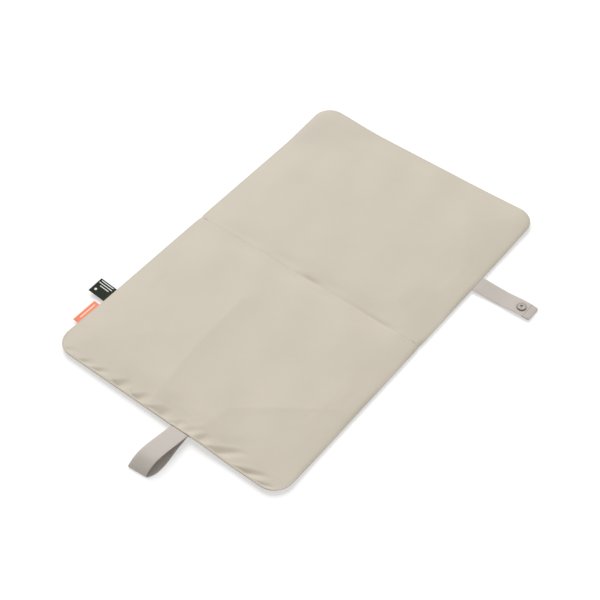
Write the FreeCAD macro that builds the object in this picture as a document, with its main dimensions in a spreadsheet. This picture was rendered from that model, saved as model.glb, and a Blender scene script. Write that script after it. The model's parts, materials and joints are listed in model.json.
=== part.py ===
"""Folding changing pad: two wadded halves, a snap closure strap, a carry loop and two sewn-in labels.

Frame, in millimetres: the origin is on the underside at the middle of the fold line. +X points to the long edge
that holds the closure strap, +Y along the pad to the half with the strap, +Z up. Each half is drawn once, on the
+Y side of the fold, and the carry loop's half is the same outline turned half a turn about Z.
"""
import FreeCAD
import Part
import Sketcher
import math
import os

V = FreeCAD.Vector
Z_AXIS = V(0, 0, 1)
LOOP_SIDE_TURN = 180

# Driving dimensions of the pad, its webbing, its snap fastener and its labels.
SIZES = {
    "pad_length": 700,
    "pad_width": 450,
    "corner_radius": 34,
    "fold_gap": 1.0,
    "seam_height": 4.5,
    "crown_height": 10,
    "cover_thickness": 0.4,
    "lip_width": 3,
    "lip_thickness": 0.6,
    "crown_bevel": 14,
    "crown_wall": 1.1,
    "base_bevel": 6,
    "base_wall": 0.7,
    "fold_bevel": 3,
    "fold_base_bevel": 1,
    "fold_wall": 0.5,
    "wadding_inset": 18,
    "wadding_clearance": 0.3,
    "wadding_bevel": 1.5,
    "thread_width": 0.5,
    "thread_height": 0.3,
    "thread_inset": 1.3,
    "fold_thread_length": 436,
    "fold_thread_width": 0.4,
    "fold_thread_base": 2.8,
    "tack_length": 7,
    "tack_width": 0.7,
    "tack_height": 1.2,
    "edge_clearance": 1.0,
    "webbing_thickness": 1.2,
    "strap_width": 33,
    "strap_lower_edge": 145,
    "strap_skew": 0.061,
    "strap_break": 0.4,
    "strap_slack": 0.05,
    "closed_gap": 0.4,
    "strap_reach": 105,
    "strap_tip_radius": 4,
    "hem_length": 14,
    "seam_end_inset": 6,
    "seam_end_length": 11,
    "stitch_count": 9,
    "stitch_length": 2.2,
    "stitch_pitch": 3.2,
    "stitch_from_hem_edge": 1.8,
    "snap_reach": 81,
    "snap_radius": 7.75,
    "socket_height": 1.8,
    "socket_wall": 0.75,
    "socket_mouth": 3.4,
    "plate_thickness": 0.4,
    "barrel_radius": 2.2,
    "barrel_clearance": 0.05,
    "cap_thickness": 1.6,
    "cap_dome": 0.7,
    "spring_radius": 3.2,
    "spring_wire": 0.4,
    "stud_flange_radius": 6.2,
    "stud_flange_thickness": 0.5,
    "stud_neck_radius": 2.1,
    "stud_head_radius": 2.4,
    "stud_tip_height": 0.2,
    "dimple_radius": 9,
    "dimple_depth": 2.4,
    "shank_radius": 1.4,
    "rivet_radius": 6,
    "rivet_thickness": 0.6,
    "patch_radius": 11,
    "patch_thickness": 0.5,
    "patch_room": 13,
    "loop_centre": 36,
    "loop_width": 33,
    "loop_reach": 83,
    "loop_base": 0.05,
    "loop_crest_reach": 50,
    "loop_crest_height": 18.4,
    "loop_brow_reach": 76,
    "loop_brow_height": 11.4,
    "loop_nose_height": 4.6,
    "loop_toe_reach": 77,
    "loop_heel_reach": 18,
    "care_label_start": 206,
    "care_label_width": 31,
    "care_label_reach": 34,
    "care_label_thickness": 0.5,
    "side_tag_start": 246,
    "side_tag_width": 48,
    "side_tag_reach": 10,
    "side_tag_thickness": 1.0,
}

# Lengths that follow from the driving dimensions, kept in the same sheet as formulas.
DERIVED = {
    "half_gap": "=fold_gap / 2",
    "crown_inset": "=lip_width + crown_bevel",
    "crown_fold": "=fold_gap / 2 + fold_bevel",
    "base_inset": "=lip_width + base_bevel",
    "base_fold": "=fold_gap / 2 + fold_base_bevel",
    "hinge_height": "=crown_height + wadding_clearance / 2",
    "strap_root": "=pad_width / 2 + edge_clearance",
    "strap_bottom": "=seam_height - webbing_thickness / 2",
    "strap_top": "=seam_height + webbing_thickness / 2",
    "wrap_height": "=strap_top + strap_slack",
    "wrap_x": "=strap_root + 2 * hinge_height + closed_gap - seam_height - strap_slack",
    "strap_base_end": "=wrap_x - strap_break / 2",
    "strap_end_start": "=wrap_x + strap_break / 2",
    "strap_tip": "=pad_width / 2 + strap_reach",
    "snap_x": "=strap_root + snap_reach",
    "snap_y": "=strap_lower_edge + strap_width / 2 + strap_skew * snap_reach",
    "stud_x": "=strap_root - (wrap_height - seam_height) - (snap_x - wrap_x)",
    "dimple_floor": "=dimple_depth + cover_thickness",
}


def build_sheet(doc):
    """The spreadsheet that every sub-part is bound to."""
    sheet = doc.addObject("Spreadsheet::Sheet", "Sizes")
    for row, (name, value) in enumerate({**SIZES, **DERIVED}.items(), start=1):
        sheet.set(f"A{row}", name)
        sheet.set(f"B{row}", str(value))
        sheet.setAlias(f"B{row}", name)
    doc.recompute()
    return sheet


def origin_plane(body, role):
    """One of a body's own origin planes."""
    return next(f for f in body.Origin.OriginFeatures if f.Role == role)


def add_body(doc, label):
    """An empty body whose label is the sub-part's name."""
    body = doc.addObject("PartDesign::Body", label)
    body.Label = label
    return body


def add_sketch(body, name, role="XY_Plane", offset=None):
    """A sketch on an origin plane, moved along the plane's normal by a sheet formula if one is given."""
    sketch = body.newObject("Sketcher::SketchObject", name)
    sketch.AttachmentSupport = (origin_plane(body, role), "")
    sketch.MapMode = "FlatFace"
    if offset:
        sketch.setExpression("AttachmentOffset.Base.z", offset)
    return sketch


def bind(sketch, kind, place, name, formula):
    """A named dimension of a sketch, driven by a sheet formula."""
    index = sketch.addConstraint(Sketcher.Constraint(kind, *place))
    sketch.renameConstraint(index, name)
    sketch.setExpression(f"Constraints.{name}", formula)


def half_outline(body, name, height, inset, fold):
    """One half of the pad's outline: straight along the fold, with two rounded corners at the far end."""
    size = body.Document.Sizes
    w = size.pad_width / 2 - 10
    e = size.pad_length / 2 - 10
    r = size.corner_radius / 2
    sketch = add_sketch(body, name, offset=height)
    right, left = V(w - r, e - r, 0), V(r - w, e - r, 0)
    quarter = math.pi / 2
    sketch.addGeometry([
        Part.LineSegment(V(-w, 1, 0), V(w, 1, 0)),
        Part.LineSegment(V(w, 1, 0), V(w, e - r, 0)),
        Part.ArcOfCircle(Part.Circle(right, Z_AXIS, r), 0, quarter),
        Part.LineSegment(V(w - r, e, 0), V(r - w, e, 0)),
        Part.ArcOfCircle(Part.Circle(left, Z_AXIS, r), quarter, 2 * quarter),
        Part.LineSegment(V(-w, e - r, 0), V(-w, 1, 0)),
    ], False)
    for first, second in ((0, 1), (5, 0)):
        sketch.addConstraint(Sketcher.Constraint("Coincident", first, 2, second, 1))
    for first, second in ((1, 2), (2, 3), (3, 4), (4, 5)):
        sketch.addConstraint(Sketcher.Constraint("Tangent", first, 2, second, 1))
    sketch.addConstraint(Sketcher.Constraint("Vertical", 1))
    sketch.addConstraint(Sketcher.Constraint("Vertical", 5))
    sketch.addConstraint(Sketcher.Constraint("Horizontal", 3))
    sketch.addConstraint(Sketcher.Constraint("Equal", 2, 4))
    sketch.addConstraint(Sketcher.Constraint("Symmetric", 0, 1, 0, 2, -2))
    bind(sketch, "DistanceX", (-1, 1, 0, 2, w), "half_width", f"Sizes.pad_width / 2 - ({inset})")
    bind(sketch, "DistanceY", (-1, 1, 0, 2, 1), "fold_side", fold)
    bind(sketch, "DistanceY", (-1, 1, 3, 1, e), "far_end", f"Sizes.pad_length / 2 - ({inset})")
    bind(sketch, "Radius", (2, r), "corner", f"Sizes.corner_radius - ({inset})")
    return sketch


def add_pad(body, sketch, length, downward=False):
    """A pad of a sketch, upward unless it is told otherwise."""
    pad = body.newObject("PartDesign::Pad", "Pad")
    pad.Profile = sketch
    pad.setExpression("Length", length)
    pad.Reversed = downward
    return pad


def add_loft(body, kind, lower, upper):
    """An additive or subtractive loft between two half outlines."""
    loft = body.newObject(f"PartDesign::{kind}Loft", f"{kind}Loft")
    loft.Profile = lower
    loft.Sections = [upper]
    loft.Ruled = True
    body.Document.recompute()
    return loft


def add_pocket(body, sketch, depth):
    """A pocket that cuts the same depth each side of its sketch."""
    pocket = body.newObject("PartDesign::Pocket", "Pocket")
    pocket.Profile = sketch
    pocket.Midplane = True
    pocket.setExpression("Length", depth)
    body.Document.recompute()
    return pocket


def add_circle(body, name, height, radius, centre):
    """A sketch of one circle, at a height, with its radius and centre bound to the sheet."""
    sketch = add_sketch(body, name, offset=height)
    sketch.addGeometry(Part.Circle(V(5, 5, 0), Z_AXIS, 3), False)
    bind(sketch, "Radius", (0, 3), "radius", radius)
    bind(sketch, "DistanceX", (-1, 1, 0, 3, 5), "centre_x", centre[0])
    bind(sketch, "DistanceY", (-1, 1, 0, 3, 5), "centre_y", centre[1])
    return sketch


def top_cover(doc, label):
    """Upper cloth of one half: a lip on the seam, a sloping rim and a flat crown, all one cloth thick."""
    body = add_body(doc, label)
    seam = half_outline(body, "Seam", "Sizes.seam_height", "Sizes.lip_width", "Sizes.half_gap")
    crown = half_outline(body, "Crown", "Sizes.crown_height", "Sizes.crown_inset", "Sizes.crown_fold")
    add_loft(body, "Additive", seam, crown)
    lip = half_outline(body, "Lip", "Sizes.seam_height", "0", "Sizes.half_gap")
    add_pad(body, lip, "Sizes.lip_thickness")
    doc.recompute()
    under = "Sizes.crown_height - Sizes.cover_thickness"
    share = "Sizes.cover_thickness / (Sizes.crown_height - Sizes.seam_height)"
    inner_seam = half_outline(body, "InnerSeam", "Sizes.seam_height", "Sizes.lip_width + Sizes.crown_wall",
                              "Sizes.half_gap + Sizes.fold_wall")
    inner_crown = half_outline(body, "InnerCrown", under,
                               f"Sizes.lip_width + Sizes.crown_wall + Sizes.crown_bevel * (1 - {share})",
                               f"Sizes.half_gap + Sizes.fold_wall + Sizes.fold_bevel * (1 - {share})")
    add_loft(body, "Subtractive", inner_seam, inner_crown)
    return body


def bottom_cover(doc, label, with_dimple):
    """Lower cloth of one half. The loop's half has a dimple that keeps the snap stud above the floor."""
    body = add_body(doc, label)
    seam = half_outline(body, "Seam", "Sizes.seam_height", "Sizes.lip_width", "Sizes.half_gap")
    base = half_outline(body, "Base", None, "Sizes.base_inset", "Sizes.base_fold")
    add_loft(body, "Additive", base, seam)
    lip = half_outline(body, "Lip", "Sizes.seam_height", "0", "Sizes.half_gap")
    add_pad(body, lip, "Sizes.lip_thickness", downward=True)
    doc.recompute()
    share = "Sizes.cover_thickness / Sizes.seam_height"
    inner_seam = half_outline(body, "InnerSeam", "Sizes.seam_height", "Sizes.lip_width + Sizes.base_wall",
                              "Sizes.half_gap + Sizes.fold_wall")
    inner_base = half_outline(body, "InnerBase", "Sizes.cover_thickness",
                              f"Sizes.lip_width + Sizes.base_wall + Sizes.base_bevel * (1 - {share})",
                              f"Sizes.half_gap + Sizes.fold_wall + Sizes.fold_base_bevel * (1 - {share})")
    add_loft(body, "Subtractive", inner_base, inner_seam)
    if with_dimple:
        stud = ("-Sizes.stud_x", "Sizes.snap_y")
        wall = add_circle(body, "DimpleWall", None, "Sizes.dimple_radius + Sizes.cover_thickness", stud)
        add_pad(body, wall, "Sizes.dimple_floor")
        doc.recompute()
        hollow = add_circle(body, "DimpleHollow", None, "Sizes.dimple_radius", stud)
        add_pocket(body, hollow, "Sizes.dimple_depth * 2")
        hole = add_circle(body, "ShankHole", "Sizes.dimple_floor",
                          "Sizes.shank_radius + Sizes.barrel_clearance", stud)
        add_pocket(body, hole, "Sizes.cover_thickness * 4")
    return body


def wadding(doc, label, with_stud_room):
    """Filling of one half, a slab that stops short of the seam and of the fold."""
    body = add_body(doc, label)
    base = half_outline(body, "Base", "Sizes.cover_thickness + Sizes.wadding_clearance",
                        "Sizes.wadding_inset", "Sizes.crown_fold + Sizes.fold_wall")
    add_pad(body, base, "Sizes.crown_height - 2 * (Sizes.cover_thickness + Sizes.wadding_clearance)")
    doc.recompute()
    if with_stud_room:
        stud = ("-Sizes.stud_x", "Sizes.snap_y")
        room = add_circle(body, "StudRoom", "Sizes.cover_thickness", "Sizes.patch_room", stud)
        add_pocket(body, room, "2 * (Sizes.dimple_floor + Sizes.patch_thickness + Sizes.rivet_thickness)")
    slab = body.Tip
    faces = slab.Shape.Faces
    top_face = max(range(len(faces)), key=lambda i: faces[i].CenterOfMass.z)
    chamfer = body.newObject("PartDesign::Chamfer", "SoftEdge")
    chamfer.Base = (slab, [f"Face{top_face + 1}"])
    chamfer.setExpression("Size", "Sizes.wadding_bevel")
    return body


def edge_stitching(doc, label):
    """Line of thread along the lip of one half, round its three sewn sides."""
    body = add_body(doc, label)
    outer = half_outline(body, "Outer", "Sizes.seam_height + Sizes.lip_thickness", "Sizes.thread_inset",
                         "Sizes.fold_gap")
    add_pad(body, outer, "Sizes.thread_height")
    doc.recompute()
    inner = half_outline(body, "Inner", "Sizes.seam_height + Sizes.lip_thickness",
                         "Sizes.thread_inset + Sizes.thread_width", "-Sizes.fold_gap")
    add_pocket(body, inner, "Sizes.thread_height * 4")
    return body


def add_box(doc, name, size, place):
    """A box bound to the sheet, with formulas for its size and for its lowest corner."""
    box = doc.addObject("Part::Box", name)
    for side, formula in zip(("Length", "Width", "Height"), size):
        box.setExpression(side, formula)
    for axis, formula in zip("xyz", place):
        box.setExpression(f"Placement.Base.{axis}", formula)
    return box


def add_group(doc, label, members):
    """Several separate solids of one kind, kept as one sub-part."""
    group = doc.addObject("Part::Compound", label)
    group.Links = members
    group.Label = label
    return group


def fold_stitching(doc):
    """Thread along the fold line, in the groove between the halves."""
    tack = "Sizes.tack_length + Sizes.fold_gap"
    size = (f"Sizes.fold_thread_length - 2 * ({tack})", "Sizes.fold_thread_width", "Sizes.fold_thread_width")
    place = (f"-Sizes.fold_thread_length / 2 + {tack}", "-Sizes.fold_thread_width / 2", "Sizes.fold_thread_base")
    return add_box(doc, "fold_stitching", size, place)


def fold_bar_tacks(doc):
    """A short thick tack at each end of the fold line."""
    size = ("Sizes.tack_length", "Sizes.tack_width", "Sizes.tack_height")
    starts = ("-Sizes.fold_thread_length / 2", "Sizes.fold_thread_length / 2 - Sizes.tack_length")
    tacks = [
        add_box(doc, f"Tack{side}", size, (start, "-Sizes.tack_width / 2", "Sizes.fold_thread_base"))
        for side, start in enumerate(starts)
    ]
    return add_group(doc, "fold_bar_tacks", tacks)


def strap_strip(body, name, height, start, finish):
    """A length of the closure strap, whose long edges lean a little towards +Y as they leave the pad."""
    size = body.Document.Sizes
    sketch = add_sketch(body, name, offset=height)
    x0, x1 = size.strap_root, size.strap_tip
    y0, y1 = size.strap_lower_edge, size.strap_lower_edge + size.strap_width
    corners = [V(x0, y0, 0), V(x1, y0, 0), V(x1, y1, 0), V(x0, y1, 0)]
    for first, second in zip(corners, corners[1:] + corners[:1]):
        sketch.addGeometry(Part.LineSegment(first, second), False)
    for side in range(4):
        sketch.addConstraint(Sketcher.Constraint("Coincident", side, 2, (side + 1) % 4, 1))
    lean = "Sizes.strap_lower_edge + Sizes.strap_skew * ({} - Sizes.strap_root)"
    places = ((0, start, lean.format(start)), (1, finish, lean.format(finish)),
              (2, finish, lean.format(finish) + " + Sizes.strap_width"),
              (3, start, lean.format(start) + " + Sizes.strap_width"))
    for corner, x, y in places:
        bind(sketch, "DistanceX", (-1, 1, corner, 1, corners[corner].x), f"corner{corner}_x", x)
        bind(sketch, "DistanceY", (-1, 1, corner, 1, corners[corner].y), f"corner{corner}_y", y)
    return sketch


def closure_strap_base(doc):
    """First stretch of the strap, which stands up against the edges of the folded pad."""
    body = add_body(doc, "closure_strap_base")
    strip = strap_strip(body, "Strip", "Sizes.strap_bottom", "Sizes.strap_root", "Sizes.strap_base_end")
    add_pad(body, strip, "Sizes.webbing_thickness")
    return body


def closure_strap_end(doc):
    """Rest of the strap, with its tip folded under as a hem and a hole for the snap's barrel."""
    body = add_body(doc, "closure_strap_end")
    strip = strap_strip(body, "Strip", "Sizes.strap_bottom", "Sizes.strap_end_start", "Sizes.strap_tip")
    add_pad(body, strip, "Sizes.webbing_thickness")
    doc.recompute()
    hem = strap_strip(body, "Hem", "Sizes.strap_bottom", "(Sizes.strap_tip - Sizes.hem_length)", "Sizes.strap_tip")
    add_pad(body, hem, "Sizes.webbing_thickness", downward=True)
    doc.recompute()
    hole = add_circle(body, "BarrelHole", "Sizes.seam_height", "Sizes.barrel_radius + 2 * Sizes.barrel_clearance",
                      ("Sizes.snap_x", "Sizes.snap_y"))
    add_pocket(body, hole, "Sizes.webbing_thickness * 2")
    strap = body.Tip
    tip = doc.Sizes.strap_tip
    corners = [
        f"Edge{i + 1}" for i, edge in enumerate(strap.Shape.Edges)
        if edge.BoundBox.XMin > tip - 0.1 and edge.BoundBox.YLength < 0.1
    ]
    fillet = body.newObject("PartDesign::Fillet", "TipCorners")
    fillet.Base = (strap, corners)
    fillet.setExpression("Radius", "Sizes.strap_tip_radius")
    return body


def strap_end_stitching(doc):
    """Row of stitches across the strap that holds the hem."""
    along = "Sizes.strap_tip - Sizes.hem_length + Sizes.stitch_from_hem_edge"
    middle = "Sizes.snap_y + Sizes.strap_skew * (Sizes.strap_tip - Sizes.snap_x)"
    count = int(doc.Sizes.stitch_count)
    size = ("Sizes.thread_width", "Sizes.stitch_length", "Sizes.thread_height")
    stitches = [
        add_box(doc, f"Stitch{i}", size,
                (along, f"{middle} + ({i - (count - 1) / 2}) * Sizes.stitch_pitch - Sizes.stitch_length / 2",
                 "Sizes.strap_top"))
        for i in range(count)
    ]
    return add_group(doc, "strap_end_stitching", stitches)


def revolved(doc, label, profile, centre):
    """A round metal piece: a closed (radius, height) profile turned about a vertical axis at centre."""
    body = add_body(doc, label)
    sketch = add_sketch(body, "Profile", role="XZ_Plane")
    for first, second in zip(profile, profile[1:] + profile[:1]):
        sketch.addGeometry(Part.LineSegment(V(*first, 0), V(*second, 0)), False)
    for side in range(len(profile)):
        sketch.addConstraint(Sketcher.Constraint("Coincident", side, 2, (side + 1) % len(profile), 1))
    turn = body.newObject("PartDesign::Revolution", "Turn")
    turn.Profile = sketch
    turn.ReferenceAxis = (sketch, ["V_Axis"])
    turn.Angle = 360
    body.setExpression("Placement.Base.x", centre[0])
    body.setExpression("Placement.Base.y", centre[1])
    return body


def snap_socket(doc):
    """Female half of the snap, a flat hollow ring on the strap's upper face."""
    size = doc.Sizes
    base, top = size.strap_top, size.strap_top + size.socket_height
    bore = size.barrel_radius + size.barrel_clearance
    plate = size.plate_thickness
    inner = size.snap_radius - size.socket_wall
    rim = size.snap_radius - plate
    profile = [(bore, base), (size.snap_radius, base), (size.snap_radius, top - plate), (rim, top),
               (size.socket_mouth, top), (size.socket_mouth, top - plate), (inner, top - plate),
               (inner, base + plate), (bore, base + plate)]
    return revolved(doc, "snap_socket", profile, ("Sizes.snap_x", "Sizes.snap_y"))


def snap_cap(doc):
    """Domed cap under the strap, whose barrel passes through the webbing into the socket."""
    size = doc.Sizes
    top = size.strap_bottom
    low = top - size.cap_thickness
    barrel_top = size.strap_top + size.plate_thickness
    profile = [(0, low), (size.snap_radius / 2, low), (size.snap_radius, top - size.cap_dome),
               (size.snap_radius, top), (size.barrel_radius, top), (size.barrel_radius, barrel_top),
               (0, barrel_top)]
    return revolved(doc, "snap_cap", profile, ("Sizes.snap_x", "Sizes.snap_y"))


def snap_spring(doc):
    """Wire ring inside the socket that grips the stud's head."""
    ring = doc.addObject("Part::Torus", "snap_spring")
    ring.setExpression("Radius1", "Sizes.spring_radius")
    ring.setExpression("Radius2", "Sizes.spring_wire")
    ring.setExpression("Placement.Base.x", "Sizes.snap_x")
    ring.setExpression("Placement.Base.y", "Sizes.snap_y")
    ring.setExpression("Placement.Base.z", "Sizes.strap_top + Sizes.socket_height / 2")
    return ring


def snap_stud(doc):
    """Male half of the snap, in the dimple of the underside, with its head pointing down."""
    size = doc.Sizes
    tip, top = size.stud_tip_height, size.dimple_depth
    low = top - size.stud_flange_thickness
    head = (tip + low) / 2
    bore = size.shank_radius + size.barrel_clearance
    profile = [(0, tip), (size.stud_neck_radius, tip), (size.stud_head_radius, (tip + head) / 2),
               (size.stud_neck_radius, head), (size.stud_neck_radius, low), (size.stud_flange_radius, low),
               (size.stud_flange_radius, top), (bore, top), (bore, head), (0, head)]
    return revolved(doc, "snap_stud", profile, ("Sizes.stud_x", "-Sizes.snap_y"))


def stud_rivet(doc):
    """Back plate inside the cover, with a shank through the patch and the cloth into the stud."""
    size = doc.Sizes
    base = size.dimple_floor + size.patch_thickness
    shank = (size.stud_tip_height + size.dimple_depth) / 2
    profile = [(0, shank), (size.shank_radius, shank), (size.shank_radius, base), (size.rivet_radius, base),
               (size.rivet_radius, base + size.rivet_thickness), (0, base + size.rivet_thickness)]
    return revolved(doc, "stud_rivet", profile, ("Sizes.stud_x", "-Sizes.snap_y"))


def stud_backing_patch(doc):
    """Round cloth patch between the cover and the stud's back plate."""
    size = doc.Sizes
    bore = size.shank_radius + size.barrel_clearance
    base = size.dimple_floor
    top = base + size.patch_thickness
    profile = [(bore, base), (size.patch_radius, base), (size.patch_radius, top), (bore, top)]
    return revolved(doc, "stud_backing_patch", profile, ("Sizes.stud_x", "-Sizes.snap_y"))


def closure_strap_seam_end(doc):
    """Sewn-in end of the strap, between the covers."""
    size = ("Sizes.seam_end_length", "Sizes.strap_width", "Sizes.webbing_thickness")
    place = ("Sizes.pad_width / 2 - Sizes.seam_end_inset - Sizes.seam_end_length",
             "Sizes.strap_lower_edge", "Sizes.strap_bottom")
    return add_box(doc, "closure_strap_seam_end", size, place)


def carry_loop_seam_ends(doc):
    """Sewn-in ends of the loop's two plies, one on the other, between the covers."""
    size = ("Sizes.loop_width", "Sizes.seam_end_length", "Sizes.webbing_thickness / 2")
    along = "-Sizes.pad_length / 2 + Sizes.seam_end_inset"
    plies = [
        add_box(doc, f"LoopPly{i}", size, ("Sizes.loop_centre - Sizes.loop_width / 2", along, height))
        for i, height in enumerate(("Sizes.seam_height", "Sizes.strap_bottom"))
    ]
    return add_group(doc, "carry_loop_seam_ends", plies)


def label_seam_ends(doc):
    """Sewn-in ends of the two labels, between the covers."""
    inner = "-Sizes.pad_width / 2 + Sizes.seam_end_inset"
    ends = []
    for name in ("care_label", "side_tag"):
        thick = f"Sizes.{name}_thickness"
        size = ("Sizes.seam_end_length", f"Sizes.{name}_width", thick)
        place = (inner, f"-Sizes.{name}_start - Sizes.{name}_width", f"Sizes.seam_height - {thick} / 2")
        ends.append(add_box(doc, f"{name}_seam_end", size, place))
    return add_group(doc, "label_seam_ends", ends)


def edge_label(doc, name):
    """A flat label that stands out of the long edge of the loop's half."""
    thick = f"Sizes.{name}_thickness"
    size = (f"Sizes.{name}_reach", f"Sizes.{name}_width", thick)
    place = (f"-Sizes.pad_width / 2 - Sizes.edge_clearance / 2 - Sizes.{name}_reach",
             f"-Sizes.{name}_start - Sizes.{name}_width", f"Sizes.seam_height - {thick} / 2")
    return add_box(doc, name, size, place)


def loop_section(size):
    """Side view of the carry loop in the YZ plane: a teardrop band that lies on the floor, as (outer, inner)."""
    root = -size.pad_length / 2 - size.edge_clearance / 2
    thick = size.webbing_thickness
    top = V(0, root, size.seam_height + thick)
    crest = V(0, root - size.loop_crest_reach, size.loop_crest_height)
    brow = V(0, root - size.loop_brow_reach, size.loop_brow_height)
    nose = V(0, root - size.loop_reach, size.loop_nose_height)
    toe = V(0, root - size.loop_toe_reach, size.loop_base)
    heel = V(0, root - size.loop_heel_reach, size.loop_base)
    low = V(0, root, size.seam_height - thick)
    outer = Part.Wire([
        Part.Arc(top, crest, brow).toShape(),
        Part.Arc(brow, nose, toe).toShape(),
        Part.LineSegment(toe, heel).toShape(),
        Part.LineSegment(heel, low).toShape(),
        Part.LineSegment(low, top).toShape(),
    ])
    inner = Part.Face(outer).makeOffset2D(-thick, join=2).OuterWire
    return outer, inner


def carry_loop(doc):
    """Webbing loop at the near short edge, both plies sewn into the seam."""
    size = doc.Sizes
    outer, inner = loop_section(size)
    band = Part.Face(outer).cut(Part.Face(inner))
    loop = doc.addObject("Part::Feature", "carry_loop")
    loop.Shape = band.extrude(V(size.loop_width, 0, 0)).Solids[0]
    loop.Placement = FreeCAD.Placement(V(size.loop_centre - size.loop_width / 2, 0, 0), FreeCAD.Rotation())
    loop.Label = "carry_loop"
    return loop


def build_halves(doc):
    """Covers, wadding and edge thread of both halves; the loop's half is turned about Z."""
    turned = FreeCAD.Placement(V(0, 0, 0), FreeCAD.Rotation(Z_AXIS, LOOP_SIDE_TURN))
    pieces = []
    for side in ("strap_half", "loop_half"):
        has_stud = side == "loop_half"
        group = [
            top_cover(doc, f"top_cover_{side}"),
            bottom_cover(doc, f"bottom_cover_{side}", has_stud),
            wadding(doc, f"wadding_{side}", has_stud),
            edge_stitching(doc, f"edge_stitching_{side}"),
        ]
        if has_stud:
            for piece in group:
                piece.Placement = turned
        pieces += group
    return pieces


def build(doc):
    """Every sub-part of the pad."""
    pieces = build_halves(doc)
    makers = (fold_stitching, fold_bar_tacks, closure_strap_seam_end, closure_strap_base, closure_strap_end,
              strap_end_stitching, snap_socket, snap_spring, snap_cap, snap_stud, stud_rivet,
              stud_backing_patch, carry_loop_seam_ends, carry_loop, label_seam_ends)
    pieces += [make(doc) for make in makers]
    pieces += [edge_label(doc, name) for name in ("care_label", "side_tag")]
    doc.recompute()
    return pieces


def check(doc, pieces):
    """Stops if an object failed, or if a sub-part's shape is missing or not valid."""
    failed = [o.Name for o in doc.Objects if "Invalid" in o.State or "Error" in o.State]
    failed += [p.Label for p in pieces if p.Shape.isNull() or not p.Shape.isValid() or p.Shape.Volume <= 0]
    if failed:
        raise RuntimeError(f"these objects failed: {failed}")


doc = FreeCAD.newDocument("changing_pad")
build_sheet(doc)
sub_parts = build(doc)
check(doc, sub_parts)
os.makedirs("parts", exist_ok=True)
for sub_part in sub_parts:
    sub_part.Shape.exportStep(f"parts/{sub_part.Label}.step")
    box = sub_part.Shape.BoundBox
    print(f"{sub_part.Label}: {sub_part.Shape.Volume:.1f} mm3, {len(sub_part.Shape.Solids)} solid(s), "
          f"x {box.XMin:.1f}..{box.XMax:.1f} y {box.YMin:.1f}..{box.YMax:.1f} z {box.ZMin:.2f}..{box.ZMax:.2f}")
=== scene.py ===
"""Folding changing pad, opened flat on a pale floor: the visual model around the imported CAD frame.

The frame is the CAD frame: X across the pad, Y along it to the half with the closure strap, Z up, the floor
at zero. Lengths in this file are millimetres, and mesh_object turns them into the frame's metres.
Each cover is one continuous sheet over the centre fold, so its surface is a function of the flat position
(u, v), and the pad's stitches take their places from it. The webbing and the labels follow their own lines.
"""

import bmesh
import bpy
import json
import math
import numpy as np
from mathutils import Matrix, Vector

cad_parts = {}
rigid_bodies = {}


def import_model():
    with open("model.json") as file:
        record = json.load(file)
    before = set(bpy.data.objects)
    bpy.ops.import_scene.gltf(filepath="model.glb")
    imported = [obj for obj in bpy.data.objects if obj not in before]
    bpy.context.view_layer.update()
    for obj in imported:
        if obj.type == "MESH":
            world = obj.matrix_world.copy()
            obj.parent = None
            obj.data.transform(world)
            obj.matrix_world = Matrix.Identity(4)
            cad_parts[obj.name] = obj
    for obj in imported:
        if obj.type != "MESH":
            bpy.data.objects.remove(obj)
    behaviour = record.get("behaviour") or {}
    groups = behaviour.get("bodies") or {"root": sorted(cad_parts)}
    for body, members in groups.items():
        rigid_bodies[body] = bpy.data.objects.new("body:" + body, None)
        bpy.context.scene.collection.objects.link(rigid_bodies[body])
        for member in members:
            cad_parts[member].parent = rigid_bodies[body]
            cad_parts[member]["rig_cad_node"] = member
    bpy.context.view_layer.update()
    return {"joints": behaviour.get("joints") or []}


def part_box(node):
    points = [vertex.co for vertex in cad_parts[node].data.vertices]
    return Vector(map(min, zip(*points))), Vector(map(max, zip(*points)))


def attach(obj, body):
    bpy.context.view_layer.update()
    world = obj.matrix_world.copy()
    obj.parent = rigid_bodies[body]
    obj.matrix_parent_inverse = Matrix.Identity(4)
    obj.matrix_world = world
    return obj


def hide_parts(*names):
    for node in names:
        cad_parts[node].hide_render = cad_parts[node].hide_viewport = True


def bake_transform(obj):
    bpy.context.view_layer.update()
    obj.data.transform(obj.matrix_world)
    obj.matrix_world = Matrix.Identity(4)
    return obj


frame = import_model()

MM = 0.001
UV_LAYER = "cloth"
LINE_STEPS = 8


# ---------------------------------------------------------------- places, from the frame


def span(*nodes):
    """The lowest and highest corners of these CAD nodes together, in millimetres."""
    boxes = [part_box(node) for node in nodes]
    low = np.min([box[0] for box in boxes], axis=0) / MM
    high = np.max([box[1] for box in boxes], axis=0) / MM
    return low, high


def joint_at(name):
    """Where a joint's axis passes, in millimetres."""
    joint = next(j for j in frame["joints"] if j["name"] == name)
    return np.array(joint["pos_m"], float) / MM


COVER_LOW, COVER_HIGH = span("top_cover_strap_half", "top_cover_loop_half")
HALF_WIDTH, HALF_LENGTH, CROWN = COVER_HIGH
SEAM = COVER_LOW[2]
CORNER_RADIUS = 34

# The cover's section, as distances in from the seam and heights above or below it.
LIP_ROLL = 1.0
LIP_HEIGHT = 0.9
NEAR_LIP = 1.3
RIDGE_PLACE = 0.8
RIDGE_WIDTH = 0.8
NEAR_EDGE_REACH = 8
EDGE_POWER = 8
GROOVE = 2.8
GROOVE_WIDTH = 0.55
GROOVE_DEPTH = 0.25
TOP_SWELL = 3.6
SHOULDER = 3.3
SHOULDER_SPREAD = 58.0
BASE_SWELL = 3.0
COVER_THICKNESS = 0.4
FLOOR_GAP = 0.06

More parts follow.
